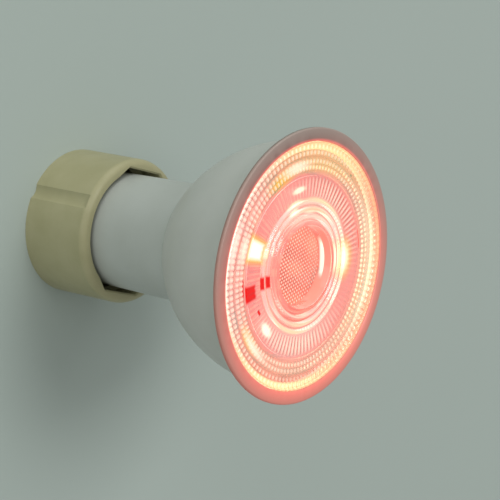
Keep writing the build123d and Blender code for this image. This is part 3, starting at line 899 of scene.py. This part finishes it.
# %% [markdown]
# ### The lit chamber
#
# The circuit board, its packages and the aluminium insert stand behind the lens. In the lit lamp
# they glow red and pink, and the packages are the brightest of them. Small lamps in the chamber
# could light them, but a weak glow of their own is easier to keep at the colour that shows
# through the lens. The board's and the packages' pink base colours are painted light as well.

# %% Chamber finishes
# The board's pink base and its glow are painted light.
board_finish, shader, place = start_finish("lit_board", colour(200, 118, 104), 0.5)
board_stops = [(0.0, colour(235, 105, 92)), (9.0, colour(240, 120, 105)), (18.0, colour(245, 140, 120))]
board_glow = ramp(board_finish, radius_of(board_finish, place), board_stops)
link(board_finish, board_glow, shader.inputs["Emission Color"])
shader.inputs["Emission Strength"].default_value = 0.1

# The packages' pink base and their glow are painted light.
package_base = colour(226, 160, 140)
package_finish, shader, place = start_finish("lit_package", package_base, 0.4)
mottle(package_finish, shader, place, package_base, colour(220, 150, 130), 0.6, 5.0, 0.01)
shader.inputs["Emission Color"].default_value = colour(255, 214, 170)
shader.inputs["Emission Strength"].default_value = 0.16

insert_base = colour(200, 196, 192)
insert_finish, shader, place = start_finish("lit_aluminium", insert_base, 0.35, 0.9)
mottle(insert_finish, shader, place, insert_base, colour(186, 182, 178), 0.4, 3.0, 0.02)
shader.inputs["Emission Color"].default_value = colour(250, 180, 150)
shader.inputs["Emission Strength"].default_value = 0.06
for node, finish in (("led_board", board_finish), ("colour_leds", package_finish),
                     ("white_leds", package_finish), ("heat_sink", insert_finish)):
    dress(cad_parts[node], finish)
print("chamber finishes:", board_finish.name, package_finish.name, insert_finish.name)

# %% [markdown]
# ### Metals, coils and boards
#
# The rest is seen only when the lamp is taken apart: brass springs, plated pins, steel screws,
# and the driver's parts. They differ only in colour, gloss and metal, so one table and one loop
# make them all. The driver board stands apart, because its tongue reaches through the lit board
# and catches the light.

# %% Metal and driver finishes, as base, shade, roughness, metallic, nodes
board_green = (52, 112, 66)
board_shade = (44, 98, 56)
small_finishes = {
    "spring_brass": ((196, 166, 104), (176, 144, 84), 0.3, 0.95,
                     ("contact_spring_left", "contact_spring_right")),
    "pin_nickel": ((206, 202, 192), (184, 180, 170), 0.22, 0.95, ("contact_pin_left", "contact_pin_right")),
    "screw_steel": ((186, 186, 182), (160, 160, 156), 0.35, 0.95, ("cover_screws", "led_board_screws")),
    "cover_plastic": ((150, 147, 112), (140, 137, 103), 0.5, 0.0, ("holder_cover",)),
    "board_green": (board_green, board_shade, 0.4, 0.0, ("control_module",)),
    "tinned_wire": ((198, 198, 192), (176, 176, 172), 0.3, 0.95, ("input_lead", "fuse_lead")),
    "resistor_blue": ((88, 130, 144), (78, 116, 130), 0.45, 0.0, ("fuse_resistor",)),
    "sleeve_black": ((40, 40, 46), (30, 30, 36), 0.35, 0.0, ("main_capacitor",)),
    "film_box": ((178, 134, 52), (160, 118, 44), 0.4, 0.0, ("filter_capacitor",)),
    "ferrite": ((52, 49, 48), (40, 38, 38), 0.7, 0.0, ("choke_core",)),
    "copper_coil": ((182, 108, 66), (160, 88, 52), 0.35, 0.9, ("choke_winding",)),
    "chip_epoxy": ((38, 38, 38), (30, 30, 31), 0.55, 0.0, ("bridge_rectifier", "driver_chip")),
    "tinned_can": ((200, 200, 197), (182, 182, 180), 0.28, 0.95, ("module_shield",)),
}
for name, (base, shade, roughness, metallic, nodes) in small_finishes.items():
    finish, shader, place = start_finish(name, colour(*base), roughness, metallic)
    mottle(finish, shader, place, colour(*base), colour(*shade), 0.5, 4.0, 0.02)
    for node in nodes:
        dress(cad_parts[node], finish)
print("small finishes:", len(small_finishes))

# %% Driver board, with its tongue in the light
tongue_start_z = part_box("led_board")[0][2] / MM
lit_length = 1.2
driver_base = colour(*board_green)
driver_finish, shader, place = start_finish("driver_board_green", driver_base, 0.4)
green = mottle(driver_finish, shader, place, driver_base, colour(*board_shade), 0.5, 4.0, 0.02)
parts = add_node(driver_finish, "ShaderNodeSeparateXYZ")
link(driver_finish, place, parts.inputs["Vector"])
lit_share = share_between(driver_finish, parts.outputs["Z"], tongue_start_z, tongue_start_z + lit_length)
lit_green = tinted(driver_finish, green, lit_share, colour(214, 140, 124))
link(driver_finish, lit_green, shader.inputs["Base Color"])
link(driver_finish, lit_share, shader.inputs["Emission Strength"])
shader.inputs["Emission Color"].default_value = colour(150, 80, 70)
dress(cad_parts["driver_board"], driver_finish)
print("finish:", driver_finish.name)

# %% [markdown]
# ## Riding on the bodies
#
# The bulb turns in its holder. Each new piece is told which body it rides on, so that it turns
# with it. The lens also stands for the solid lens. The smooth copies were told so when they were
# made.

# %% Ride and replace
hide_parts("lens")
for piece, body, slot in ((lens, "bulb", "lens_clear"), (bowl, "bulb", "white_plastic"),
                          (neck, "bulb", "white_plastic"), (holder, "lampholder", "holder_plastic")):
    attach(piece, body)
for hook in hooks:
    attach(hook, "bulb")
print("hooks on the bulb:", len(hooks))

# %% [markdown]
# ## Floor, lamps and world
#
# The lamp stands on a plain pale floor of a cool grey-green. One large soft lamp hangs high above
# it and lights the floor. A low one stands on the side that is up in the picture and leaves the
# other side of the lamp in a soft shadow. A weak one fills from the camera's side, and the world
# gives the rest. Small lamps would give hard shadows, which a lit room doesn't have.

# %% Floor
floor_size = 6.0
floor_cells = 8
bpy.ops.object.select_all(action="DESELECT")
bpy.ops.mesh.primitive_grid_add(x_subdivisions=floor_cells, y_subdivisions=floor_cells, size=floor_size,
                                location=(0, 0, 0))
floor = bpy.context.object
floor.name = "floor"
floor_base = colour(175, 187, 180)
floor_finish, shader, place = start_finish("floor_paint", floor_base, 0.8)
mottle(floor_finish, shader, place, floor_base, colour(171, 183, 176), 0.004, 0.8, 0.01)
dress(floor, floor_finish)
print("floor finish:", floor_finish.name)


# %% Lamps and world
def soft_lamp(name, place, aim, size, power):
    """Square area lamp of a size in metres and a power in watts, which faces a point."""
    data = bpy.data.lights.new(name, "AREA")
    data.size = size
    data.energy = power
    lamp = bpy.data.objects.new(name, data)
    lamp.location = place
    lamp.rotation_euler = (Vector(aim) - Vector(place)).to_track_quat("-Z", "Y").to_euler()
    bpy.context.scene.collection.objects.link(lamp)


lamp_aim = (0.0, 0.0, 0.03)
studio_lamps = [("key_lamp", (0.5, -0.8, 2.3), 1.0, 20.0), ("side_lamp", (0.1, -2.0, 0.7), 1.6, 12.5),
                ("fill_lamp", (1.5, -0.4, 0.4), 1.6, 8.5)]
for name, lamp_place, size, power in studio_lamps:
    soft_lamp(name, lamp_place, lamp_aim, size, power)
world = bpy.data.worlds.new("studio")
world.use_nodes = True
backdrop = world.node_tree.nodes["Background"]
backdrop.inputs["Color"].default_value = colour(235, 238, 236)
backdrop.inputs["Strength"].default_value = 0.44
bpy.context.scene.world = world
bpy.context.scene.view_settings.view_transform = "Standard"
